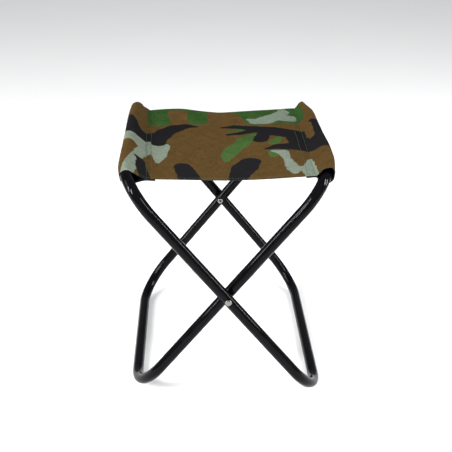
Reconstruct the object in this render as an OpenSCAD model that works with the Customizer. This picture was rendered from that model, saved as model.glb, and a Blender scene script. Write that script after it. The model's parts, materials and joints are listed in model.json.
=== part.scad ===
// Folding camp stool: two bent-tube loops crossed on a pair of pivot rivets, with a cloth seat
// sewn round their top bars. Millimetres, +Z up, front towards -Y. The origin is on the floor,
// midway between the legs. The stool stands open, with the seat cloth pulled straight.

/* [Tube frames] */
// Outside diameter of the steel tube
tube_d = 18; // [16:0.5:20]
// Wall thickness of the tube
tube_wall = 1.2; // [1:0.1:1.5]
// Centreline radius of each corner bend
bend_r = 68; // [60:1:74]
// Width of the outer loop, between its leg centrelines
outer_w = 390; // [380:5:420]
// Space between the tubes where the legs cross
leg_gap = 0.4; // [0.2:0.1:1]
// From the pivot to the top bar's centreline, along the leg
leg_above = 247; // [235:1:260]
// From the pivot to the bottom bar's centreline, along the leg
leg_below = 241; // [230:1:255]
// Lean of each frame from the vertical
lean = 38.3; // [36:0.1:41]

/* [Top bar joint] */
// Length of the joiner that plugs into both ends of the bent tube
joiner_len = 70; // [50:5:90]
// Wall thickness of the joiner
joiner_wall = 1.5; // [1:0.1:2]
// Slit left between the two tube ends
joint_slit = 0.6; // [0.4:0.1:2]

/* [Pivots] */
// Shank diameter of the pivot rivet
rivet_d = 6; // [5:0.5:6]
// Diameter of the rivet head
rivet_head_d = 10.5; // [10:0.5:11]
// Height of the rivet head
rivet_head_h = 2.2; // [1.8:0.1:2.6]
// Diameter of the rolled rim at the tail
rivet_tail_d = 10; // [9.5:0.5:10.5]
// Height of the rolled rim
rivet_tail_h = 1.5; // [1.2:0.1:2]
// Radial clearance of the shank in the tube holes
pivot_clear = 0.06; // [0.03:0.01:0.1]
// Depth of the flat pressed into the tube at each pivot
seat_depth = 0.8; // [0.6:0.1:0.9]
// Diameter of that pressed flat
seat_d = 12.4; // [12:0.2:13]
// Outside diameter of the spacer washer
washer_d = 11.4; // [10:0.2:11.8]

/* [Seat cloth] */
// Thickness of the cloth
cloth = 1; // [0.8:0.1:1.2]
// Length of the sleeves and the seat, front to back
seat_len = 310; // [290:5:320]
// Looseness of a sleeve round its bar
sleeve_clear = 0.4; // [0.3:0.1:0.6]
// From the left bar's centreline to the seam that closes its sleeve
left_pocket = 27; // [24:1:32]
// From the right bar's centreline to the seam that closes its sleeve
right_pocket = 22; // [20:1:32]
// Distance between the two rows of stitching on the left
left_row_gap = 8; // [6:1:12]
// Distance between the two rows of stitching on the right
right_row_gap = 9; // [6:1:12]
// Tail of cloth past each sleeve's seam, under the seat
tail = 16; // [14:1:30]
// Drop of the seams below the bars' centrelines
seam_drop = 7; // [5:1:9]
// Drop of the middle of the seat below the bars' centrelines
seat_drop = 12; // [10:1:16]
// Width of the sewing thread, as it lies
thread_w = 0.8; // [0.6:0.1:1]
// Distance of the hem stitching from the cloth's edge
hem_inset = 9; // [6:1:12]

/* [Hidden] */
$fn = 64;
HULL_FN = 32;            // facets of the discs inside a hull
ARC_STEPS = 28;          // straight pieces in a sleeve's curve round its bar
BEND_STEPS = 6;          // discs along the covered part of a bend
PANEL_STEPS = 10;        // straight pieces in one half of the seat's curve
tube_r = tube_d / 2;
bore_r = tube_r - tube_wall;
hole_r = rivet_d / 2 + pivot_clear;
inner_w = outer_w - 2 * (tube_d + leg_gap);
pivot_z = leg_below * cos(lean) + tube_r;
bar_x = leg_above * sin(lean);
bar_z = pivot_z + leg_above * cos(lean);
half_len = seat_len / 2;
head_y = outer_w / 2 + tube_r - seat_depth;      // flat under the rivet head
tail_y = inner_w / 2 - tube_r + seat_depth;      // flat above the rolled rim
spacer_y = outer_w / 2 - tube_r + seat_depth;    // flat behind the spacer washer
slack = 0.1;                                     // axial play on the moving side of a pivot
shank_len = head_y - tail_y + slack;
spacer_h = 2 * seat_depth + leg_gap - slack;
thread_h = 0.4;
thread_gap = 0.02;                               // keeps a thread's face off the cloth's
thin = 0.1;                                      // thickness of the discs and strips inside a hull
half_gap = 0.2;                                  // half of the slit between the seat's two halves
body_gap = 0.4;                                  // between a sleeve and its half of the seat

// ---- Tube frames -----------------------------------------------------------------------

// Puts a shape drawn in a frame's own plane (legs along Z, bars along Y, pivot at the origin)
// where the frame stands. side is -1 for the frame whose top bar is on the left, 1 for the other.
module stand(side) {
    translate([0, 0, pivot_z]) rotate([0, side * lean, 0]) children();
}

// The tube's cross-section, hollow.
module tube_ring() {
    difference() {
        circle(r = tube_r);
        circle(r = bore_r);
    }
}

// A straight piece of tube along Z.
module straight(length) {
    linear_extrude(height = length) tube_ring();
}

// A closed loop of tube, w wide between leg centrelines, slit at the middle of its top bar.
module loop(w) {
    y = w / 2 - bend_r;
    top = leg_above - bend_r;
    bottom = -(leg_below - bend_r);
    for (s = [-1, 1]) {
        translate([0, s * w / 2, bottom]) straight(top - bottom);
        translate([0, s * joint_slit / 2, leg_above]) rotate([-s * 90, 0, 0]) straight(y - joint_slit / 2);
    }
    translate([0, y, -leg_below]) rotate([90, 0, 0]) straight(2 * y);
    for (k = [0 : 3]) {
        translate([0, (k == 0 || k == 3) ? y : -y, k < 2 ? top : bottom])
            rotate([90 * k, 0, 0]) rotate([90, 0, 90])
                rotate_extrude(angle = 90) translate([bend_r, 0]) tube_ring();
    }
}

// A disc along Y between two distances from a leg's centreline, on the side that s names.
module face_disc(d, low, high, s) {
    translate([0, s * low, 0]) rotate([-s * 90, 0, 0]) cylinder(d = d, h = high - low);
}

// The wall that is pushed in behind a pressed flat.
module pressed_wall(s) {
    intersection() {
        cylinder(r = tube_r, h = 2 * seat_d, center = true);
        face_disc(seat_d, tube_r - seat_depth - tube_wall, tube_r - seat_depth, s);
    }
}

// One frame: the loop with flats pressed into both sides of each leg at the pivot, and its holes.
module frame_tube(w) {
    difference() {
        union() {
            loop(w);
            for (leg = [-1, 1], s = [-1, 1]) translate([0, leg * w / 2, 0]) pressed_wall(s);
        }
        for (leg = [-1, 1]) translate([0, leg * w / 2, 0]) {
            for (s = [-1, 1]) face_disc(seat_d, tube_r - seat_depth, tube_r + 1, s);
            rotate([90, 0, 0]) cylinder(r = hole_r, h = 2 * tube_d, center = true);
        }
    }
}

module outer_frame_tube() { color([0.05, 0.05, 0.06]) stand(-1) frame_tube(outer_w); }
module inner_frame_tube() { color([0.05, 0.05, 0.06]) stand(1) frame_tube(inner_w); }

// ---- Joiners: short tubes that plug the two ends of a frame together ------------------------

module joiner() {
    r = bore_r - 0.05;
    translate([0, joiner_len / 2, leg_above]) rotate([90, 0, 0]) difference() {
        cylinder(r = r, h = joiner_len);
        translate([0, 0, -1]) cylinder(r = r - joiner_wall, h = joiner_len + 2);
    }
}

module outer_frame_joiner() { color([0.6, 0.6, 0.62]) stand(-1) joiner(); }
module inner_frame_joiner() { color([0.6, 0.6, 0.62]) stand(1) joiner(); }

// ---- Pivots --------------------------------------------------------------------------------

// Half of the rivet's outline: a low domed head with a flat crown, the shank, and a rolled rim
// round the drilled tail. Z = 0 is under the head, and the head is above it.
module rivet_outline() {
    head_r = rivet_head_d / 2;
    tail_r = rivet_tail_d / 2;
    drill_r = 1.9;
    drill_deep = 9;
    crown_r = 0.45 * head_r;
    edge = 0.5;
    steps = 6;
    polygon(concat(
        [[0, rivet_head_h], [crown_r, rivet_head_h]],
        [for (k = [1 : steps]) let (a = 90 * k / steps)
            [crown_r + (head_r - crown_r) * sin(a), edge + (rivet_head_h - edge) * cos(a)]],
        [[head_r, 0], [rivet_d / 2, 0], [rivet_d / 2, -shank_len], [tail_r - 0.4, -shank_len]],
        [for (k = [0 : steps]) let (a = 90 * k / steps)
            [tail_r - 0.8 + 0.8 * cos(a), -shank_len - 0.4 - (rivet_tail_h - 0.4) * sin(a)]],
        [for (k = [1 : steps]) let (a = 90 * k / steps)
            [drill_r + 1.3 - 1.3 * sin(a), -shank_len - rivet_tail_h + 1.4 * (1 - cos(a))]],
        [[drill_r, -shank_len + drill_deep], [0, -shank_len + drill_deep + 1]]));
}

// s is -1 for the front pivot and 1 for the rear one.
module rivet(s) {
    color([0.75, 0.75, 0.73]) translate([0, s * head_y, pivot_z]) rotate([-s * 90, 0, 0])
        rotate_extrude() rivet_outline();
}

module spacer(s) {
    color([0.1, 0.1, 0.1]) translate([0, s * spacer_y, pivot_z]) rotate([s * 90, 0, 0]) difference() {
        cylinder(d = washer_d, h = spacer_h);
        translate([0, 0, -1]) cylinder(r = hole_r, h = spacer_h + 2);
    }
}

module front_rivet() { rivet(-1); }
module rear_rivet() { rivet(1); }
module front_spacer() { spacer(-1); }
module rear_spacer() { spacer(1); }

// ---- Seat cloth ----------------------------------------------------------------------------

// The angle that a loop w wide has bent through where it is y from the middle of its bar.
function bend_angle(w, y) = asin((y - (w / 2 - bend_r)) / bend_r);

// A frame's bar axis, as a place to draw from. s is 1 towards the rear end and -1 towards the front.
module at_bar(side) {
    translate([side * bar_x, 0, bar_z]) children();
}

// A drop-shaped outline, drawn with X along the seat and Y up: the bar out to radius r, and a flat
// lip, thick thick, that ends reach away at the seam.
module drop_outline(side, r, reach, thick) {
    mid = -seam_drop - cloth;
    up = [reach, mid + thick / 2];
    low = [reach, mid - thick / 2];
    a0 = atan2(up[1], up[0]) + acos(r / norm(up));
    a1 = 360 + atan2(low[1], low[0]) - acos(r / norm(low));
    turn = [for (k = [0 : ARC_STEPS]) a0 + (a1 - a0) * k / ARC_STEPS];
    polygon([for (p = concat([low, up], [for (a = turn) r * [cos(a), sin(a)]])) [-side * p[0], p[1]]]);
}

// The drop-shaped outline, run along Y from y0 to y1.
module drop_run(side, r, reach, thick, y0, y1) {
    at_bar(side) translate([0, y1, 0]) rotate([90, 0, 0])
        linear_extrude(height = y1 - y0) drop_outline(side, r, reach, thick);
}

// A thin disc of radius r across the tube, after it has bent through angle a.
module bend_disc(side, w, r, a, s) {
    stand(side) translate([0, s * (w / 2 - bend_r), leg_above - bend_r]) rotate([-s * a, 0, 0])
        translate([0, 0, bend_r]) rotate([90, 0, 0]) cylinder(r = r, h = thin, $fn = HULL_FN);
}

// The space that a sleeve wraps: the bar out to radius r, the bends that it covers, and the seam.
module sleeve_space(side, w, r, reach, thick, length) {
    straight_y = w / 2 - bend_r;
    lip_z = -seam_drop - cloth - thick / 2;
    drop_run(side, r, reach, thick, -straight_y, straight_y);
    for (s = [-1, 1]) hull() {
        y = s * straight_y;
        drop_run(side, r, reach, thick, min(y, y + s * thin), max(y, y + s * thin));
        for (k = [1 : BEND_STEPS]) bend_disc(side, w, r, bend_angle(w, length) * k / BEND_STEPS, s);
        at_bar(side) translate([-side * reach - thin / 2, min(y, s * length), lip_z])
            cube([thin, length - straight_y, thick]);
    }
}

module sleeve(side, w, pocket) {
    r = tube_r + sleeve_clear;
    over = 4;                      // the shape runs this far past the ends that are cut off
    room = 60;                     // more than the sleeve reaches from its bar
    color([0.42, 0.33, 0.2]) intersection() {
        difference() {
            sleeve_space(side, w, r + cloth, pocket, 2 * cloth, half_len + over);
            sleeve_space(side, w, r, pocket - 1.5 * cloth, 0.2, half_len + 2 * over);
        }
        at_bar(side) translate([side > 0 ? -pocket : -room, -half_len, -room])
            cube([room + pocket, seat_len, 2 * room]);
    }
}

module left_sleeve() { sleeve(-1, outer_w, left_pocket); }
module right_sleeve() { sleeve(1, inner_w, right_pocket); }

// Height of the seat's top face at a distance x from its middle. It sags between the seams.
function seat_z(x) = bar_z - seat_drop + (seat_drop - seam_drop) * pow(x / (bar_x - right_pocket), 2);

// A layer of cloth under the seat's top face, from x = a to x = b, depth down, thick thick.
module layer(a, b, depth, thick, y0, y1) {
    xs = [for (k = [0 : PANEL_STEPS]) a + (b - a) * k / PANEL_STEPS];
    xr = [for (k = [0 : PANEL_STEPS]) xs[PANEL_STEPS - k]];
    translate([0, y1, 0]) rotate([90, 0, 0]) linear_extrude(height = y1 - y0)
        polygon(concat([for (x = xs) [x, seat_z(x) - depth]], [for (x = xr) [x, seat_z(x) - depth - thick]]));
}

// side is -1 on the left and 1 on the right; each seam's row is a distance from its bar.
function row_x(side, from_bar) = side * (bar_x - from_bar);

module seat_panel(side, pocket) {
    color([0.42, 0.33, 0.2])
        layer(side * half_gap, row_x(side, pocket + body_gap), 0, cloth, -half_len, half_len);
}

module underlap(side, pocket) {
    color([0.08, 0.08, 0.08])
        layer(row_x(side, pocket + tail), row_x(side, pocket + body_gap), cloth, cloth, -half_len, half_len);
}

// A row of stitching along Y, lying on the seat.
module seam_thread(side, from_bar) {
    x = row_x(side, from_bar);
    y = half_len - 2;
    color([0.2, 0.42, 0.24])
        layer(x - thread_w / 2, x + thread_w / 2, -thread_h, thread_h - thread_gap, -y, y);
}

// A row of stitching along the hem of one half, from the middle to from_bar. s is -1 at the front.
module hem_thread(side, from_bar, s) {
    y = s * (half_len - hem_inset);
    color([0.2, 0.42, 0.24]) layer(side * half_gap, row_x(side, from_bar), -thread_h, thread_h - thread_gap,
        y - thread_w / 2, y + thread_w / 2);
}

module left_seat_panel() { seat_panel(-1, left_pocket); }
module right_seat_panel() { seat_panel(1, right_pocket); }
module left_underlap() { underlap(-1, left_pocket); }
module right_underlap() { underlap(1, right_pocket); }
module left_outer_seam_thread() { seam_thread(-1, left_pocket + 1); }
module left_inner_seam_thread() { seam_thread(-1, left_pocket + 1 + left_row_gap); }
module right_outer_seam_thread() { seam_thread(1, right_pocket + 1); }
module right_inner_seam_thread() { seam_thread(1, right_pocket + 1 + right_row_gap); }
module left_front_hem_thread() { hem_thread(-1, left_pocket + left_row_gap + 3, -1); }
module left_rear_hem_thread() { hem_thread(-1, left_pocket + left_row_gap + 3, 1); }
module right_front_hem_thread() { hem_thread(1, right_pocket + right_row_gap + 3, -1); }
module right_rear_hem_thread() { hem_thread(1, right_pocket + right_row_gap + 3, 1); }

outer_frame_tube();
inner_frame_tube();
outer_frame_joiner();
inner_frame_joiner();
front_rivet();
rear_rivet();
front_spacer();
rear_spacer();
left_sleeve();
right_sleeve();
left_seat_panel();
right_seat_panel();
left_underlap();
right_underlap();
left_outer_seam_thread();
left_inner_seam_thread();
right_outer_seam_thread();
right_inner_seam_thread();
left_front_hem_thread();
left_rear_hem_thread();
right_front_hem_thread();
right_rear_hem_thread();
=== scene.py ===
"""Looks for a folding camp stool: two crossed loops of black enamelled tube and a camouflage cloth seat.

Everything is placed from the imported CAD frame, in metres. Across the seat, u is the distance from a
top bar's centreline towards the middle and v is the height above it. y runs from front to rear.
The cloth's own flat coordinates are across (from the middle of the seat, out and round the bar)
and y. side is -1 for the left bar, which the outer loop carries, and 1 for the right bar.
"""

import json
import math

import bpy
import numpy as np
from mathutils import Matrix, Vector


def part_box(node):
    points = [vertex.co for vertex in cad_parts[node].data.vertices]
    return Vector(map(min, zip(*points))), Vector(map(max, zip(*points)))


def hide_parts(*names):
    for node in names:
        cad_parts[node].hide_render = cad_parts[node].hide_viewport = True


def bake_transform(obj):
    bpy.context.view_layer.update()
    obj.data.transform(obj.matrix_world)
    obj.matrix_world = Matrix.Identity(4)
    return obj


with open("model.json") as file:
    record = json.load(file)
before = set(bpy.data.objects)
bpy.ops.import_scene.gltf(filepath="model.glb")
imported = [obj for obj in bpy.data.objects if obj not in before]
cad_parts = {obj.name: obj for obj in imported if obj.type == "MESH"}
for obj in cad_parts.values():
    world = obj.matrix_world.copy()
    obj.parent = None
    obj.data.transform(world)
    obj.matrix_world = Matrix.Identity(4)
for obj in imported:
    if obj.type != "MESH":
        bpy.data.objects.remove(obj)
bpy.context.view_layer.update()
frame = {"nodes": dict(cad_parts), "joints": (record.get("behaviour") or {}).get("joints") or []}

# ---- Sizes in metres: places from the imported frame, and the tube's sizes as in part.scad --

MM = 0.001
JOINTS = {j["name"]: j for j in frame["joints"]}
BAR_X = JOINTS["right_seat_hang"]["pos_m"][0]
BAR_Z = JOINTS["right_seat_hang"]["pos_m"][2]
PIVOT_Z = JOINTS["fold"]["pos_m"][2]
LEAN = math.atan2(BAR_X, BAR_Z - PIVOT_Z)
HALF_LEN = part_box("left_seat_panel")[1][1]
TUBE_R = 9 * MM
BEND_R = 68 * MM
LOOP_TOP = {-1: "outer_frame_tube", 1: "inner_frame_tube"}
STRAIGHT_Y = {side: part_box(node)[1][1] - TUBE_R - BEND_R for side, node in LOOP_TOP.items()}

# ---- The seat's shape --------------------------------------------------------------------

CLOTH_T = 0.7 * MM
SLEEVE_R = 10.6 * MM       # of the cloth's middle layer round a bar
TAIL = 14 * MM             # of cloth under the seat, past the inner seam row
TAIL_CURL = 0.5 * MM       # how far the tail's cut edge drops
LAYER_GAP = 1.3 * MM       # between the middles of the two layers that a seam joins
HEM_WIDTH = 8 * MM
HEM_STEP = 1.5 * MM        # over which a hem's fold thickens the cloth
HEM_FOLD = 0.5 * MM        # extra cloth under each hem
TUBE_GAP = 0.25 * MM       # the least space between the tube and the cloth
SLOPE_SAG = 0.9 * MM       # of the cloth from a seam up to the bar

# The cloth's grid: rows along y, and columns from the middle of the seat round the bar and back.
ROWS = 104
PANEL_COLUMNS = 44
SLOPE_COLUMNS = 9          # from a seam up to where the cloth meets the bar
WRAP_COLUMNS = 22          # round the bar
TAIL_COLUMNS = 6
SLEEVE_START = PANEL_COLUMNS + SLOPE_COLUMNS
SLEEVE_END_COLUMN = PANEL_COLUMNS + 2 * SLOPE_COLUMNS + WRAP_COLUMNS

# Where each sleeve's inner seam row runs: u at the front, the middle and the rear.
SEAM_U = {-1: (32 * MM, 24 * MM, 21 * MM), 1: (23.5 * MM, 20.5 * MM, 19 * MM)}
# The second row of stitching is this much further from the bar.
ROW_GAP = {-1: 8 * MM, 1: 10.5 * MM}

# Height of the cloth above the bars along x, at the front edge, across the middle and at the
# rear edge: (x, v) in millimetres.
FRONT_SAG = ((-127, -9), (-90, -10), (0, -12.5), (40, -11.5), (80, -9), (127, -6))
MIDDLE_SAG = ((-127, -9.5), (-60, -12.5), (0, -14), (60, -12), (127, -7))
REAR_SAG = ((-127, -6.5), (-110, -4.5), (-72, -3), (-40, -8), (-5, -11.5), (90, -6), (127, -3.5))
EDGE_REACH = 70 * MM       # how far in from an edge its own profile is felt
PROFILE_MARGIN = 30 * MM   # how far a profile runs on past its end points
PROFILE_SAMPLES = 400
PROFILE_WINDOW = 61        # samples that round off a profile's corners

# How the sleeve's round part moves as its bar bends away, at the front and rear ends: (u, v, swell).
SLEEVE_END = {
    (-1, -1): (4.5 * MM, -5.4 * MM, 0.2 * MM), (-1, 1): (2.0 * MM, -1.6 * MM, 0.6 * MM),
    (1, -1): (7.0 * MM, -5.2 * MM, 0.6 * MM), (1, 1): (4.4 * MM, -0.4 * MM, -0.4 * MM)}
BEND_LEAD = 12 * MM        # the sleeve starts to move this far before its bar bends
BEND_POWER = 1.6           # how the movement grows along the bend
# The ridge at a sleeve's outer top, as a share of its radius, and its place and width in radians.
RIDGE = {(-1, -1): 0.0, (-1, 1): 0.0, (1, -1): 0.42, (1, 1): 0.0}
RIDGE_ANGLE = 2.2
RIDGE_WIDTH = 0.45
BELLY = {-1: 0.0, 1: 1.2 * MM}     # how far a sleeve bulges in front of its middle
BELLY_Y = -70 * MM
BELLY_REACH = 60 * MM
BELLY_SWELL = 0.8          # growth of the sleeve's radius for each unit of bulge
# The outer and lower side of a sleeve's end hangs down, and is pulled in along y where the bent bar
# comes down through it. Each end of each sleeve hangs by its own amount.
DROOP = {(-1, -1): 5 * MM, (-1, 1): 0.5 * MM, (1, -1): 9 * MM, (1, 1): 9 * MM}
DROOP_FROM = 0.12          # as a share of the way round the sleeve
DROOP_SPAN = 0.8
PULL_IN = {-1: 6 * MM, 1: 10 * MM}
PULL_RISE = 1.6            # how soon the pull starts on the way round

# Ripples over the seat, puckers beside the seams and folds in the sleeves. H is a height, LEN,
# REACH and IN are lengths, SEED starts the random draws, and the rest are in radians per metre,
# apart from PUCKER_DRIFT in radians.
RIPPLE_H, RIPPLE_X, RIPPLE_Y, RIPPLE_SEED = 0.35 * MM, 55, 38, 3
PUCKER_H, PUCKER_LEN, PUCKER_REACH, PUCKER_IN = 0.22 * MM, 11 * MM, 9 * MM, 3 * MM
PUCKER_DRIFT, PUCKER_DRIFT_Y = 1.3, 31
FOLD_H, FOLD_Y, FOLD_SLANT, FOLD_X, FOLD_SEED = 0.55 * MM, 75, 60, 95, 11
FOLD_FADE = 12 * MM
SETTLE_STEPS = 24          # rounds of smoothing the sleeve and pushing it off the tube
SETTLE_RATE = 0.25


def smooth(t):
    """Goes from 0 to 1 with level ends."""
    t = np.clip(t, 0, 1)
    return t * t * (3 - 2 * t)


def along(profile, x):
    """A smooth curve through (x, v) points, as an array of v in metres."""
    xs, vs = np.array(profile, float).T * MM
    fine = np.linspace(xs[0] - PROFILE_MARGIN, xs[-1] + PROFILE_MARGIN, PROFILE_SAMPLES)
    v = np.interp(fine, xs, vs)
    kernel = np.hanning(PROFILE_WINDOW)
    padded = np.pad(v, PROFILE_WINDOW // 2, mode="edge")
    return np.interp(x, fine, np.convolve(padded, kernel / kernel.sum(), mode="valid"))


def ripple(a, b, seed):
    """Smooth, small, irregular waves over two coordinates, from -1 to 1."""
    rng = np.random.default_rng(seed)
    waves = 5
    total = 0
    for _ in range(waves):
        turn, phase, size = rng.uniform(0, math.pi), rng.uniform(0, 2 * math.pi), rng.uniform(0.6, 1.6)
        total = total + np.sin((a * math.cos(turn) + b * math.sin(turn)) * size + phase)
    return total / waves


def seat_v(x, y):
    """Height of the seat cloth above the bars at x, y, both arrays."""
    front = smooth(1 - (y + HALF_LEN) / EDGE_REACH)
    rear = smooth(1 - (HALF_LEN - y) / EDGE_REACH)
    v = along(MIDDLE_SAG, x) * (1 - front - rear) + along(FRONT_SAG, x) * front + along(REAR_SAG, x) * rear
    return v + RIPPLE_H * ripple(x * RIPPLE_X, y * RIPPLE_Y, RIPPLE_SEED)


def seam_u(side, y):
    """How far in from the bar the inner seam row runs at y."""
    return np.interp(y, (-HALF_LEN, 0, HALF_LEN), SEAM_U[side])


def hem_share(y):
    """1 on the front and rear hems, 0 between them."""
    return smooth((np.abs(y) - (HALF_LEN - HEM_WIDTH)) / HEM_STEP)


def clear_of_tube(side, u, v, y, gap):
    """Moves cloth points off the tube, to at least gap from its surface."""
    tiny = 1e-6
    down, out = (math.sin(LEAN), -math.cos(LEAN)), (math.cos(LEAN), math.sin(LEAN))
    a, b = u * down[0] + v * down[1], u * out[0] + v * out[1]
    past = np.abs(y) - STRAIGHT_Y[side]
    bent = past > 0
    r = np.hypot(past, BEND_R - a)
    # On the bend, the nearest point of the centreline lies BEND_R from the bend's centre.
    ca = np.where(bent, BEND_R - (BEND_R - a) / np.maximum(r, tiny) * BEND_R, 0)
    cy = np.where(bent, past / np.maximum(r, tiny) * BEND_R, past)
    da, dy, db = a - ca, past - cy, b
    dist = np.sqrt(da**2 + dy**2 + db**2)
    push = np.maximum(0, TUBE_R + gap - dist) / np.maximum(dist, tiny)
    a, b, move_y = a + da * push, b + db * push, dy * push
    return a * down[0] + b * out[0], a * down[1] + b * out[1], y + np.sign(y) * move_y


def cross_section(side, y):
    """One row of the cloth's middle layer at y: u and v, and y itself, which the pull changes."""
    which = (side, -1 if y < 0 else 1)
    move_u, move_v, swell = SLEEVE_END[which]
    bent = max(0.0, (abs(y) - STRAIGHT_Y[side] + BEND_LEAD) / (HALF_LEN - STRAIGHT_Y[side] + BEND_LEAD))
    near = bent**BEND_POWER
    belly = BELLY[side] * math.exp(-((y - BELLY_Y) / BELLY_REACH) ** 2)
    centre_u, centre_v = move_u * near - belly, move_v * near
    r = SLEEVE_R + swell * near + BELLY_SWELL * belly

    # The panel, from the middle of the seat to the seam.
    su = float(seam_u(side, y))
    sv = float(seat_v(np.array(side * (BAR_X - su)), np.array(y)))
    panel_u = np.linspace(BAR_X, su, PANEL_COLUMNS + 1)
    panel_v = seat_v(side * (BAR_X - panel_u), np.full_like(panel_u, y))

    # Round the bar, from where a line from the upper layer at the seam touches the sleeve's circle
    # to where a line to the lower layer leaves it.
    layer_gap = LAYER_GAP + 2 * HEM_FOLD * float(hem_share(y))
    low_v = sv - layer_gap
    across_u = su - centre_u
    up_from = math.atan2(sv - centre_v, across_u) + math.acos(r / math.hypot(across_u, sv - centre_v))
    back_at = math.atan2(low_v - centre_v, across_u) - math.acos(r / math.hypot(across_u, low_v - centre_v))
    turn = np.linspace(up_from, 2 * math.pi + back_at, WRAP_COLUMNS + 1)
    ridge = r * (1 + RIDGE[which] * near * np.exp(-((turn - RIDGE_ANGLE) / RIDGE_WIDTH) ** 2))
    wrap_u, wrap_v = centre_u + ridge * np.cos(turn), centre_v + ridge * np.sin(turn)

    # The slopes between the seam and the bar, and the tail under the seat.
    t = np.linspace(0, 1, SLOPE_COLUMNS + 1)[1:-1]
    up_u = su + (wrap_u[0] - su) * t
    up_v = sv + (wrap_v[0] - sv) * t - SLOPE_SAG * np.sin(math.pi * t)
    back_u, back_v = wrap_u[-1] + (su - wrap_u[-1]) * t, wrap_v[-1] + (low_v - wrap_v[-1]) * t
    tail_u = su + TAIL * np.linspace(0, 1, TAIL_COLUMNS + 1)
    tail_v = seat_v(side * (BAR_X - tail_u), np.full_like(tail_u, y)) - layer_gap
    tail_v = tail_v - smooth((tail_u - su) / TAIL) * TAIL_CURL
    u = np.concatenate([panel_u, up_u, wrap_u, back_u, tail_u])
    v = np.concatenate([panel_v, up_v, wrap_v, back_v, tail_v])

    # The slack at the sleeve's ends.
    pull, droop = np.zeros_like(u), np.zeros_like(u)
    sleeve = slice(SLEEVE_START, SLEEVE_END_COLUMN + 1)
    way = np.linspace(0, 1, SLEEVE_END_COLUMN - SLEEVE_START + 1)
    pull[sleeve] = np.sin(math.pi * smooth(way)) ** 2 * smooth(way * PULL_RISE)
    hang = np.sin(math.pi * np.clip((way - DROOP_FROM) / DROOP_SPAN, 0, 1))
    droop[sleeve] = DROOP[which] * bent**2 * hang
    inward = 0.0 if y < 0 else math.sin(LEAN)
    u, v = u + droop * inward, v - droop * math.cos(LEAN)
    return u, v, y - math.copysign(1, y) * PULL_IN[side] * pull * bent**2


def cloth_grid(side):
    """The middle layer of one half of the seat cloth, as arrays of rows by columns: x, y, z, and the
    cloth's flat coordinates. Columns run from the middle of the seat over the bar and back under."""
    rows_y = np.linspace(-HALF_LEN, HALF_LEN, ROWS + 1)
    u, v, y = (np.array(lines) for lines in zip(*(cross_section(side, row_y) for row_y in rows_y)))
    flat_y = np.repeat(rows_y[:, None], u.shape[1], axis=1)
    step = np.hypot(np.diff(u, axis=1), np.diff(v, axis=1)).mean(axis=0)
    across = np.concatenate([[0], np.cumsum(step)])
    flat_x = side * np.repeat(across[None, :], len(u), axis=0)

    # Puckers beside the seams, folds in the sleeve, and then the cloth settles off the tube.
    seam_at = across[PANEL_COLUMNS]
    beside = np.exp(-((across - seam_at + PUCKER_IN) / PUCKER_REACH) ** 2)[None, :]
    drift = PUCKER_DRIFT * np.sin(flat_y * PUCKER_DRIFT_Y)
    v = v + PUCKER_H * beside * np.sin(flat_y / PUCKER_LEN * 2 * math.pi + drift)
    sleeve = smooth((across - seam_at) / FOLD_FADE)[None, :]
    sleeve = sleeve * smooth((across[SLEEVE_END_COLUMN] - across) / FOLD_FADE)[None, :]
    folds = ripple(flat_y * FOLD_Y + flat_x * FOLD_SLANT, flat_x * FOLD_X, FOLD_SEED + side) * FOLD_H * sleeve
    away_u, away_v = u / np.hypot(u, v), v / np.hypot(u, v)
    u, v = u + away_u * folds, v + away_v * folds
    lo, hi = PANEL_COLUMNS + 1, SLEEVE_END_COLUMN
    for _ in range(SETTLE_STEPS):
        for g in (u, v, y):
            inner = g[1:-1, lo:hi]
            mean = (g[:-2, lo:hi] + g[2:, lo:hi] + g[1:-1, lo - 1:hi - 1] + g[1:-1, lo + 1:hi + 1]) / 4
            g[1:-1, lo:hi] = inner + SETTLE_RATE * (mean - inner)
        u[:, lo:hi], v[:, lo:hi], y[:, lo:hi] = clear_of_tube(
            side, u[:, lo:hi], v[:, lo:hi], y[:, lo:hi], CLOTH_T / 2 + TUBE_GAP)
    return side * (BAR_X - u), y, BAR_Z + v, flat_x, flat_y


# ---- Meshes ------------------------------------------------------------------------------

EDGE_ROWS = ((0.0, 0.30), (0.10, 0.75), (0.35, 1.0))   # rows that round the cut edge: (place, thickness)
HEM_OUTSIDE = 0.25         # a hem also thickens outward, by this share of HEM_FOLD
SHARP_ANGLE = math.radians(55)


def with_edge_rows(grid):
    """The grid with extra rows just inside its front and rear edges."""
    extra = [place for place, _ in EDGE_ROWS[1:]]
    front = [grid[0] + (grid[1] - grid[0]) * t for t in extra]
    rear = [grid[-1] + (grid[-2] - grid[-1]) * t for t in reversed(extra)]
    return np.vstack([grid[:1], *[row[None] for row in front], grid[1:-1],
                      *[row[None] for row in rear], grid[-1:]])


def surface_normals(points, side):
    """Unit normals of a grid of points that face up on the seat and outward round the bar."""
    n = np.cross(np.gradient(points, axis=1), np.gradient(points, axis=0)) * side
    n[:, 0, 0] = 0
    return n / np.linalg.norm(n, axis=2, keepdims=True)


def cloth_half(side):
    """Points, normals and flat coordinates of one half of the seat cloth."""
    x, y, z, flat_x, flat_y = (with_edge_rows(g) for g in cloth_grid(side))
    points = np.stack([x, y, z], axis=2)
    return {"side": side, "points": points, "normals": surface_normals(points, side),
            "flat_x": flat_x, "flat_y": flat_y}


def new_mesh_object(name, vertices, faces, materials):
    """A new object in the scene, with its materials in the order given."""
    mesh = bpy.data.meshes.new(name)
    mesh.from_pydata([tuple(v) for v in vertices], [], faces)
    for material in materials:
        mesh.materials.append(material)
    mesh.validate()
    obj = bpy.data.objects.new(name, mesh)
    bpy.context.scene.collection.objects.link(obj)
    return obj


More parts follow.
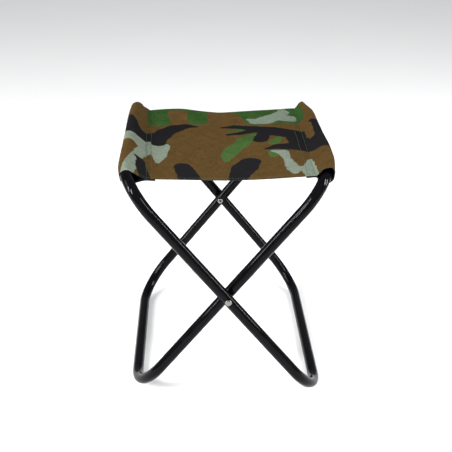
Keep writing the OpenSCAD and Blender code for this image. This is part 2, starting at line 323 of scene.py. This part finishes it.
def add_attribute(mesh, name, values):
    """Stores one number at each vertex, for the materials to read."""
    attribute = mesh.attributes.new(name, "FLOAT", "POINT")
    attribute.data.foreach_set("value", np.ascontiguousarray(values, dtype=np.float32))


def cloth_object(name, half, outer_material, back_material):
    """One half of the seat as a closed sheet: printed outside, coated inside, with folded hems."""
    points, normals, side = half["points"], half["normals"], half["side"]
    rows, columns = points.shape[:2]
    edge = np.ones(rows)
    for i, (_, thick) in enumerate(EDGE_ROWS):
        edge[i] = edge[-1 - i] = thick
    hem = hem_share(half["flat_y"])
    out = (CLOTH_T / 2 + HEM_OUTSIDE * HEM_FOLD * hem) * edge[:, None]
    inside = (CLOTH_T / 2 + HEM_FOLD * hem) * edge[:, None]
    vertices = np.concatenate([(points + normals * out[..., None]).reshape(-1, 3),
                               (points - normals * inside[..., None]).reshape(-1, 3)])
    size = rows * columns

    def quad(a, b, c, d):
        return (a, b, c, d) if side > 0 else (d, c, b, a)

    faces = []
    for r in range(rows - 1):
        for c in range(columns - 1):
            i = r * columns + c
            faces.append(quad(i, i + 1, i + columns + 1, i + columns))
    for r in range(rows - 1):
        for c in range(columns - 1):
            i = size + r * columns + c
            faces.append(quad(i + columns, i + columns + 1, i + 1, i))
    printed = (rows - 1) * (columns - 1)
    for c in range(columns - 1):
        last = (rows - 1) * columns + c
        faces.append(quad(c + 1, c, size + c, size + c + 1))
        faces.append(quad(last, last + 1, size + last + 1, size + last))
    for r in range(rows - 1):
        first, last = r * columns, r * columns + columns - 1
        faces.append(quad(first, first + columns, size + first + columns, size + first))
        faces.append(quad(last + columns, last, size + last, size + last + columns))
    obj = new_mesh_object(name, vertices, faces, [outer_material, back_material])
    mesh = obj.data
    slots = np.ones(len(mesh.polygons), dtype=np.int32)
    slots[:printed] = 0
    mesh.polygons.foreach_set("material_index", slots)
    mesh.polygons.foreach_set("use_smooth", np.ones(len(mesh.polygons), dtype=bool))
    mesh.set_sharp_from_angle(angle=SHARP_ANGLE)
    flat_x, flat_y = (np.tile(half[key].ravel(), 2) for key in ("flat_x", "flat_y"))
    add_attribute(mesh, "flat_x", flat_x)
    add_attribute(mesh, "flat_y", flat_y)
    for colour, strokes in PATTERN.items():
        add_attribute(mesh, "print_" + colour, distance_to(strokes, flat_x / MM, flat_y / MM))
    return obj


def on_cloth(half, x, y):
    """The point on the cloth's printed face, and its normal, at flat coordinates x, y."""
    across, down = np.abs(half["flat_x"][0]), half["flat_y"][:, 0]
    c = np.interp(abs(x), across, np.arange(len(across)))
    r = np.interp(y, down, np.arange(len(down)))
    c0, r0 = min(int(c), len(across) - 2), min(int(r), len(down) - 2)
    fc, fr = c - c0, r - r0
    found = []
    for grid in (half["points"], half["normals"]):
        top = grid[r0, c0] * (1 - fc) + grid[r0, c0 + 1] * fc
        low = grid[r0 + 1, c0] * (1 - fc) + grid[r0 + 1, c0 + 1] * fc
        found.append(top * (1 - fr) + low * fr)
    point, normal = found
    normal = normal / np.linalg.norm(normal)
    return Vector(point + normal * CLOTH_T / 2), Vector(normal)


# ---- Stitches ----------------------------------------------------------------------------

STITCH_LEN = 3.3 * MM
STITCH_PITCH = 4.3 * MM
THREAD_R = 0.28 * MM
THREAD_SIDES = 7
SEAM_STITCH_IN = 1.0 * MM  # from where the two layers meet
SEAM_END_GAP = 2.0 * MM    # from the ends of a seam row to the cut edge
HEM_STITCH_IN = 5.5 * MM   # from the cut edge
SEAM_JITTER = 0.12 * MM
HEM_JITTER = 0.1 * MM
STITCH_SEED = 5
STITCH_RINGS = ((-0.50, -0.9, 0.55), (-0.42, 0.0, 0.9), (-0.2, 0.45, 1.0), (0.2, 0.45, 1.0),
                (0.42, 0.0, 0.9), (0.50, -0.9, 0.55))  # place along it, height and radius in THREAD_R


def add_stitch(half, start, end, vertices, faces):
    """One lockstitch between two flat points: a short thread whose ends dive into the cloth."""
    (p0, n0), (p1, n1) = on_cloth(half, *start), on_cloth(half, *end)
    along_it, up = p1 - p0, (n0 + n1).normalized()
    aside = along_it.cross(up).normalized()
    sides, first = THREAD_SIDES, len(vertices)
    for place, height, size in STITCH_RINGS:
        centre = p0 + along_it * (place + 0.5) + up * height * THREAD_R
        for k in range(sides):
            a = 2 * math.pi * k / sides
            vertices.append(centre + (aside * math.cos(a) + up * math.sin(a)) * THREAD_R * size)
    for ring in range(len(STITCH_RINGS) - 1):
        for k in range(sides):
            a, b = first + ring * sides + k, first + ring * sides + (k + 1) % sides
            faces.append((a, b, b + sides, a + sides))
    faces.append(tuple(first + k for k in reversed(range(sides))))
    faces.append(tuple(first + (len(STITCH_RINGS) - 1) * sides + k for k in range(sides)))


def stitches_object(name, half, material):
    """Two rows of stitches at the seam and one along each hem, all in one half of the seat."""
    side = half["side"]
    rng = np.random.default_rng(STITCH_SEED + side)
    across = np.abs(half["flat_x"][0])
    seam = across[PANEL_COLUMNS] - SEAM_STITCH_IN
    vertices, faces = [], []
    for row_x in (seam, seam - ROW_GAP[side]):
        y = -HALF_LEN + SEAM_END_GAP
        while y < HALF_LEN - STITCH_LEN - SEAM_END_GAP:
            x0, x1 = row_x + rng.normal(0, SEAM_JITTER), row_x + rng.normal(0, SEAM_JITTER)
            add_stitch(half, (side * x0, y), (side * x1, y + STITCH_LEN), vertices, faces)
            y += STITCH_PITCH
    for end in (-1, 1):
        hem_y = end * (HALF_LEN - HEM_STITCH_IN)
        x = STITCH_PITCH - STITCH_LEN
        while x < across[-1] - STITCH_LEN:
            y0, y1 = hem_y + rng.normal(0, HEM_JITTER), hem_y + rng.normal(0, HEM_JITTER)
            add_stitch(half, (side * x, y0), (side * (x + STITCH_LEN), y1), vertices, faces)
            x += STITCH_PITCH
    obj = new_mesh_object(name, vertices, faces, [material])
    obj.data.polygons.foreach_set("use_smooth", np.ones(len(obj.data.polygons), dtype=bool))
    return obj


# ---- The printed pattern -----------------------------------------------------------------

# A woodland print. Its patches lie about where the photo shows them, and are guessed where it
# doesn't. Each patch is one brush stroke or more over the brown ground, as points (x, y, radius)
# in millimetres on the flat cloth. Later colours print over earlier ones.
PATTERN = {
    "green": (
        ((-112, 150, 17), (-108, 98, 20)),
        ((-112, 156, 12), (-40, 156, 12)),
        ((-42, 146, 18), (-42, 110, 17)),
        ((22, 154, 4), (50, 138, 18), (62, 110, 24), (100, 118, 32), (126, 128, 24), (128, 100, 20)),
        ((60, 46, 4), (44, 27, 12), (30, 18, 11)),
        ((40, 18, 11), (30, 0, 13), (13, -28, 14), (4, -52, 12), (0, -76, 5)),
        ((50, 150, 11), (140, 152, 11)),
        ((92, 17, 6), (85, 3, 9), (78, -6, 6)),
        ((72, -42, 4), (77, -60, 7)),
        ((14, 61, 5), (36, 65, 5)),
        ((-186, -120, 16), (-198, -80, 22), (-212, -50, 12)),
        ((-205, 120, 18), (-190, 142, 12)),
        ((186, -125, 14), (200, -96, 20), (214, -64, 12)),
        ((190, 118, 16), (205, 92, 12)),
    ),
    "grey": (
        ((47, 114, 4), (60, 103, 12), (76, 106, 17), (95, 120, 14), (108, 133, 12), (108, 150, 6)),
        ((98, 118, 13), (118, 106, 12), (124, 97, 6)),
        ((-108, -36, 17), (-106, -60, 12), (-109, -88, 4)),
        ((-180, -6, 17), (-152, -18, 19), (-128, -24, 24), (-110, -22, 22)),
        ((-128, -42, 14), (-138, -65, 9), (-143, -85, 8), (-148, -108, 8), (-152, -135, 10), (-158, -160, 9)),
        ((76, -40, 3), (92, -49, 10), (96, -72, 6), (98, -95, 8), (103, -122, 11), (103, -139, 5)),
        ((103, -122, 10), (118, -124, 10)),
        ((131, -90, 4), (127, -116, 9), (126, -140, 12), (130, -162, 12)),
        ((-200, 62, 8), (-212, 90, 14)),
        ((206, 10, 12), (192, 40, 9), (182, 62, 4)),
    ),
    "black": (
        ((-44, 82, 3), (-60, 85, 9), (-78, 74, 15), (-95, 52, 16), (-106, 22, 14), (-107, -6, 12)),
        ((-104, 30, 18), (-128, 20, 19), (-152, 18, 20), (-168, 40, 22), (-180, 72, 20), (-190, 98, 10)),
        ((-70, -102, 14), (-66, -122, 16), (-60, -154, 18)),
        ((38, -83, 17), (28, -106, 21), (20, -130, 17), (14, -160, 14)),
        ((-143, -89, 4), (-136, -92, 7), (-135, -118, 8), (-129, -152, 9)),
        ((-2, 79, 3), (22, 82, 8), (50, 72, 10)),
        ((8, 43, 4), (30, 49, 7), (56, 60, 10)),
        ((55, 68, 13), (80, 52, 20), (103, 38, 18), (119, 26, 18), (121, -2, 16), (128, -28, 17)),
        ((68, 40, 12), (61, 15, 13)),
        ((66, -29, 3), (84, -23, 10), (110, -26, 16), (135, -33, 20), (158, -45, 28)),
        ((160, -44, 22), (172, -20, 20), (174, 12, 20), (168, 44, 14), (157, 52, 6)),
        ((-222, -110, 12), (-230, -60, 10)),
        ((214, 130, 12), (224, 70, 12)),
    ),
}

FAR_OFF = 100.0            # millimetres: more than any distance that the print's edges need


def distance_to(strokes, x, y):
    """Signed distance in millimetres from each point to the edge of the nearest stroke."""
    best = np.full_like(x, FAR_OFF)
    for stroke in strokes:
        for (ax, ay, ar), (bx, by, br) in zip(stroke, stroke[1:]):
            dx, dy = bx - ax, by - ay
            t = np.clip(((x - ax) * dx + (y - ay) * dy) / (dx * dx + dy * dy), 0, 1)
            gap = np.hypot(x - ax - t * dx, y - ay - t * dy) - (ar + t * (br - ar))
            best = np.minimum(best, gap)
    return best


# ---- Materials ---------------------------------------------------------------------------

def shade(red, green, blue):
    """A linear colour from screen values of 0 to 255."""
    linear = [((c / 255 + 0.055) / 1.055) ** 2.4 if c > 10 else c / 255 / 12.92 for c in (red, green, blue)]
    return (*linear, 1.0)


class Nodes:
    """A short way to build one material's node tree."""

    def __init__(self, name):
        self.material = bpy.data.materials.new(name)
        self.material.use_nodes = True
        self.tree = self.material.node_tree
        self.surface = self.tree.nodes["Principled BSDF"]
        self.place = self.add("ShaderNodeTexCoord").outputs["Object"]

    def add(self, kind, **inputs):
        """Adds a node; an underscore in an input's name stands for a space."""
        node = self.tree.nodes.new(kind)
        for key, value in inputs.items():
            self.feed(node, key.replace("_", " "), value)
        return node

    def feed(self, node, key, value):
        """Links a socket to an input, or sets its value."""
        if isinstance(value, bpy.types.NodeSocket):
            self.tree.links.new(value, node.inputs[key])
        else:
            node.inputs[key].default_value = value

    def noise(self, scale, detail=2.0, roughness=0.5, vector=None):
        node = self.add("ShaderNodeTexNoise", Scale=scale, Detail=detail, Roughness=roughness)
        self.feed(node, "Vector", vector or self.place)
        return node.outputs["Fac"]

    def maths(self, operation, a, b=0.0):
        node = self.add("ShaderNodeMath")
        node.operation = operation
        self.feed(node, 0, a)
        self.feed(node, 1, b)
        return node.outputs[0]

    def remap(self, value, low, high, to_low=0.0, to_high=1.0):
        """Maps low..high to to_low..to_high, and holds the ends."""
        node = self.add("ShaderNodeMapRange", Value=value)
        for key, number in zip(("From Min", "From Max", "To Min", "To Max"), (low, high, to_low, to_high)):
            self.feed(node, key, number)
        return node.outputs[0]

    def mix(self, factor, a, b):
        node = self.add("ShaderNodeMix")
        node.data_type = "RGBA"
        self.feed(node, 0, factor)
        self.feed(node, 6, a)
        self.feed(node, 7, b)
        return node.outputs[2]

    def attribute(self, name):
        node = self.add("ShaderNodeAttribute")
        node.attribute_name = name
        return node.outputs["Fac"]

    def vector(self, x, y, z=0.0):
        return self.add("ShaderNodeCombineXYZ", X=x, Y=y, Z=z).outputs[0]

    def bump(self, height, strength, distance, normal=None):
        node = self.add("ShaderNodeBump", Height=height, Strength=strength, Distance=distance)
        if normal:
            self.feed(node, "Normal", normal)
        return node.outputs[0]

    def finish(self, **inputs):
        """Feeds the surface shader and gives the material."""
        for key, value in inputs.items():
            self.feed(self.surface, key.replace("_", " "), value)
        return self.material


WEAVE_PITCH = 1.3 * MM
WANDER = 5.0               # how far the print's edges wander, in millimetres
FRAY = 1.8                 # and how far they fray
EDGE_BLUR = 0.45           # half the width of the print's edges


def weave(n, x, y):
    """Height of a plain weave over flat coordinates: threads pass over and under each other."""
    turns = 2 * math.pi / WEAVE_PITCH
    across = n.maths("SINE", n.maths("MULTIPLY", x, turns))
    down = n.maths("SINE", n.maths("MULTIPLY", y, turns))
    half_across = n.maths("SINE", n.maths("MULTIPLY", x, turns / 2))
    half_down = n.maths("SINE", n.maths("MULTIPLY", y, turns / 2))
    over = n.maths("MULTIPLY", half_across, half_down)
    threads = n.maths("MULTIPLY", n.maths("ADD", across, down), 0.25)
    return n.maths("ADD", threads, n.maths("MULTIPLY", over, 0.5))


def printed_cloth(name):
    """Woven polyester with a woodland print: brown ground, then green, grey and black, with painted shade on
    the patches towards the rear.
    """
    n = Nodes(name)
    x, y = n.attribute("flat_x"), n.attribute("flat_y")
    flat = n.vector(x, y)
    drab, ochre, rust = shade(65, 49, 22), shade(80, 62, 30), shade(84, 59, 33)
    brown = n.mix(n.noise(28, 3, 0.6, flat), drab, ochre)
    colour = n.mix(n.remap(n.noise(70, 4, 0.6, flat), 0.45, 0.7), brown, rust)
    wander = n.maths("MULTIPLY", n.maths("SUBTRACT", n.noise(85, 2, 0.5, flat), 0.5), WANDER)
    fray = n.maths("MULTIPLY", n.maths("SUBTRACT", n.noise(520, 2, 0.5, flat), 0.5), FRAY)
    edge = n.maths("ADD", wander, fray)
    tones = {"green": (shade(28, 57, 22), shade(63, 90, 43)),
             "grey": (shade(98, 109, 97), shade(115, 125, 111)),
             "black": (shade(13, 13, 16), shade(23, 22, 25))}
    # Painted shade: the print's patches take their darker tones towards the rear of the seat and their
    # lighter ones towards the front, on top of tones that differ at random.
    painted_rear_shade = n.remap(y, -0.06, 0.12, 0.35, -0.25)
    tone_and_painted_shade = n.maths("ADD", n.noise(40, 3, 0.6, flat), painted_rear_shade)
    for key, (dark, light) in tones.items():
        past_edge = n.maths("ADD", n.attribute("print_" + key), edge)
        inside = n.remap(past_edge, -EDGE_BLUR, EDGE_BLUR, 1.0, 0.0)
        colour = n.mix(inside, colour, n.mix(tone_and_painted_shade, dark, light))

    # Slubs darken single threads: noise drawn out along y for the warp, and along x for the weft.
    thread_noise, drawn_out = 560, 0.12
    warp = n.noise(thread_noise, 2, 0.6, n.vector(x, n.maths("MULTIPLY", y, drawn_out)))
    weft = n.noise(thread_noise, 2, 0.6, n.vector(n.maths("MULTIPLY", x, drawn_out), y))
    slub = n.maths("MULTIPLY", n.maths("ADD", warp, weft), 0.5)
    colour = n.mix(n.remap(slub, 0.38, 0.62, 0.0, 0.3), colour, shade(22, 19, 14))
    bumps = n.bump(n.noise(60, 3, 0.5, flat), 0.25, 0.9 * MM)
    bumps = n.bump(weave(n, x, y), 0.55, 0.12 * MM, bumps)
    return n.finish(Base_Color=colour, Roughness=n.remap(slub, 0.3, 0.7, 0.8, 0.95), Normal=bumps,
                    Specular_IOR_Level=0.04)


def coated_back(name):
    """The cloth's black coated back, with the weave showing through the coating."""
    n = Nodes(name)
    x, y = n.attribute("flat_x"), n.attribute("flat_y")
    flat = n.vector(x, y)
    colour = n.mix(n.noise(120, 3, 0.6, flat), shade(18, 18, 19), shade(34, 33, 35))
    bumps = n.bump(weave(n, x, y), 0.4, 0.08 * MM, n.bump(n.noise(50, 2, 0.5, flat), 0.2, 0.8 * MM))
    return n.finish(Base_Color=colour, Roughness=n.remap(n.noise(300, 2, 0.5, flat), 0.3, 0.7, 0.5, 0.68),
                    Normal=bumps, Specular_IOR_Level=0.35)


def sewing_thread(name):
    """Green polyester thread, twisted."""
    n = Nodes(name)
    colour = n.mix(n.noise(160, 2, 0.5), shade(6, 44, 18), shade(22, 74, 38))
    twist = n.add("ShaderNodeTexWave", Scale=900.0, Distortion=0.6, Vector=n.place)
    return n.finish(Base_Color=colour, Roughness=n.remap(n.noise(700, 2), 0.3, 0.7, 0.5, 0.7),
                    Normal=n.bump(twist.outputs["Fac"], 0.35, 0.06 * MM), Sheen_Weight=0.05)


def black_enamel(name):
    """Gloss black enamel on drawn tube: faint orange peel, fine scuffs, worn where it meets the floor."""
    n = Nodes(name)
    height = n.add("ShaderNodeSeparateXYZ", Vector=n.place).outputs["Z"]
    low = n.remap(height, 1.5 * MM, 6 * MM, 1.0, 0.0)
    scuffs = n.remap(n.noise(1100, 4, 0.7), 0.58, 0.66)
    worn = n.maths("MULTIPLY", low, scuffs)
    dust = n.remap(n.noise(45, 4, 0.65), 0.35, 0.75)
    colour = n.mix(dust, shade(4, 4, 6), shade(11, 11, 14))
    colour = n.mix(worn, colour, shade(92, 90, 88))
    smears = n.remap(n.noise(26, 3, 0.6), 0.3, 0.75, 0.03, 0.08)
    rough = n.maths("ADD", smears, n.maths("MULTIPLY", worn, 0.4))
    peel = n.bump(n.noise(420, 2, 0.5), 0.14, 0.08 * MM)
    peel = n.bump(n.noise(70, 2, 0.5), 0.12, 0.35 * MM, peel)
    return n.finish(Base_Color=colour, Roughness=rough, Normal=peel, Specular_IOR_Level=0.08)


def zinc_plate(name):
    """Zinc-plated steel rivets: bright grey, lightly brushed and spotted."""
    n = Nodes(name)
    colour = n.mix(n.noise(380, 4, 0.65), shade(104, 105, 100), shade(146, 147, 141))
    marks = n.noise(1500, 3, 0.6)
    return n.finish(Base_Color=colour, Metallic=1.0, Roughness=n.remap(marks, 0.3, 0.7, 0.16, 0.3),
                    Normal=n.bump(marks, 0.2, 0.05 * MM))


def bare_steel(name):
    """Drawn steel of the tube joiners, with lengthwise die lines."""
    n = Nodes(name)
    stretched = n.add("ShaderNodeMapping", Vector=n.place)
    stretched.inputs["Scale"].default_value = (1.0, 0.04, 1.0)
    lines = n.noise(1600, 2, 0.6, stretched.outputs[0])
    colour = n.mix(lines, shade(120, 121, 124), shade(168, 169, 172))
    return n.finish(Base_Color=colour, Metallic=1.0, Roughness=n.remap(lines, 0.3, 0.7, 0.3, 0.46),
                    Normal=n.bump(lines, 0.25, 0.04 * MM))


def black_nylon(name):
    """Moulded nylon washers, finely pitted and rubbed a little."""
    n = Nodes(name)
    colour = n.mix(n.noise(500, 3, 0.6), shade(20, 20, 21), shade(40, 40, 42))
    pits = n.noise(2600, 3, 0.6)
    return n.finish(Base_Color=colour, Roughness=n.remap(pits, 0.3, 0.7, 0.42, 0.6),
                    Normal=n.bump(pits, 0.3, 0.05 * MM))


def pale_floor(name):
    """A plain matt studio floor."""
    n = Nodes(name)
    colour = n.mix(n.noise(3, 2, 0.5), shade(244, 244, 244), shade(248, 248, 248))
    return n.finish(Base_Color=colour, Roughness=0.8, Specular_IOR_Level=0.1)


# ---- Pieces ------------------------------------------------------------------------------

def set_material(nodes, material):
    """Gives a material to CAD nodes, whose shape stays as it is."""
    for node in nodes:
        mesh = frame["nodes"][node].data
        mesh.materials.clear()
        mesh.materials.append(material)


def dress_frame():
    """The metal and nylon pieces are the CAD nodes themselves, with finished materials."""
    set_material(("outer_frame_tube", "inner_frame_tube"), black_enamel("black_enamel"))
    set_material(("outer_frame_joiner", "inner_frame_joiner"), bare_steel("bare_steel"))
    set_material(("front_rivet", "rear_rivet"), zinc_plate("zinc_plate"))
    set_material(("front_spacer", "rear_spacer"), black_nylon("black_nylon"))


def make_seat():
    """Both halves of the seat cloth and their stitching, in place of the CAD seat pieces, which are hidden.
    """
    cloth, back = printed_cloth("printed_cloth"), coated_back("coated_back")
    thread = sewing_thread("sewing_thread")
    for side, name, frame_body in ((-1, "left", "outer_frame"), (1, "right", "inner_frame")):
        half = cloth_half(side)
        seat = cloth_object(name + "_seat_cloth", half, cloth, back)
        stitches = stitches_object(name + "_stitching", half, thread)
        for piece in (seat, stitches):
            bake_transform(piece)
        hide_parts(name + "_sleeve", name + "_seat_panel", name + "_underlap")
        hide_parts(*[f"{name}_{row}_thread"
                                for row in ("outer_seam", "inner_seam", "front_hem", "rear_hem")])


# ---- Camera, lights and floor ------------------------------------------------------------

LENS = 63.7                            # in millimetres, over Blender's usual 36 mm sensor
CAMERA_DISTANCE = 1.3837
CAMERA_TARGET = (4.2 * MM, 0, 227.6 * MM)
CAMERA_ANGLES = (26.43, 2.56, 0.57)    # pitch, yaw and roll in degrees
FLOOR_SIZE = 16
SUN_DIRECTION = (0.86, 0.12, -0.50)
SUN_ENERGY = 1.0
SUN_SPREAD = math.radians(30)
LIGHTS = (                             # name, place, width and height, power in watts
    ("left_strip", (-1.5, -1.3, 1.5), (0.14, 1.2), 50),
    ("right_strip", (1.5, -0.9, 1.9), (0.14, 1.2), 42),
    ("left_side_box", (-1.9, -0.6, 1.1), (0.12, 1.0), 30),
    ("right_side_box", (1.9, -0.4, 0.95), (0.1, 1.0), 26))
LIGHT_AIM = (0, 0, 0.3)
SURROUND = (0.97, 0.98, 1.0, 1)
SURROUND_STRENGTH = 0.40


def make_camera():
    """Looks down at the stool from a little to its left."""
    pitch, yaw, roll = (math.radians(angle) for angle in CAMERA_ANGLES)
    target = Vector(CAMERA_TARGET)
    forward = Vector((math.sin(yaw) * math.cos(pitch), math.cos(yaw) * math.cos(pitch), -math.sin(pitch)))
    right = Vector((math.cos(yaw), -math.sin(yaw), 0))
    up = right.cross(forward)
    right, up = right * math.cos(roll) + up * math.sin(roll), up * math.cos(roll) - right * math.sin(roll)
    data = bpy.data.cameras.new("camera")
    data.lens = LENS
    camera = bpy.data.objects.new("camera", data)
    turn = Matrix((right, up, -forward)).transposed().to_4x4()
    camera.matrix_world = Matrix.Translation(target - forward * CAMERA_DISTANCE) @ turn
    bpy.context.scene.collection.objects.link(camera)
    bpy.context.scene.camera = camera


def soft_light(name, place, size, power):
    """A rectangular area light that faces the stool."""
    data = bpy.data.lights.new(name, "AREA")
    data.shape = "RECTANGLE"
    data.size, data.size_y = size
    data.energy = power
    light = bpy.data.objects.new(name, data)
    light.location = place
    light.rotation_euler = (Vector(LIGHT_AIM) - Vector(place)).to_track_quat("-Z", "Y").to_euler()
    bpy.context.scene.collection.objects.link(light)


def make_studio():
    """A pale floor, a broad low light from the left, two strips, two side boxes and a dim surround."""
    bpy.ops.mesh.primitive_plane_add(size=FLOOR_SIZE)
    floor = bpy.context.object
    floor.name = "studio_floor"
    floor.data.materials.append(pale_floor("pale_floor"))
    sun = bpy.data.lights.new("main_light", "SUN")
    sun.energy = SUN_ENERGY
    sun.angle = SUN_SPREAD
    sun_object = bpy.data.objects.new("main_light", sun)
    sun_object.rotation_euler = Vector(SUN_DIRECTION).to_track_quat("-Z", "Y").to_euler()
    bpy.context.scene.collection.objects.link(sun_object)
    for light in LIGHTS:
        soft_light(*light)
    world = bpy.data.worlds.new("surround")
    world.use_nodes = True
    background = world.node_tree.nodes["Background"]
    background.inputs["Color"].default_value = SURROUND
    background.inputs["Strength"].default_value = SURROUND_STRENGTH
    bpy.context.scene.world = world
    bpy.context.scene.view_settings.view_transform = "Standard"


make_camera()
make_studio()
dress_frame()
make_seat()

bpy.context.view_layer.update()
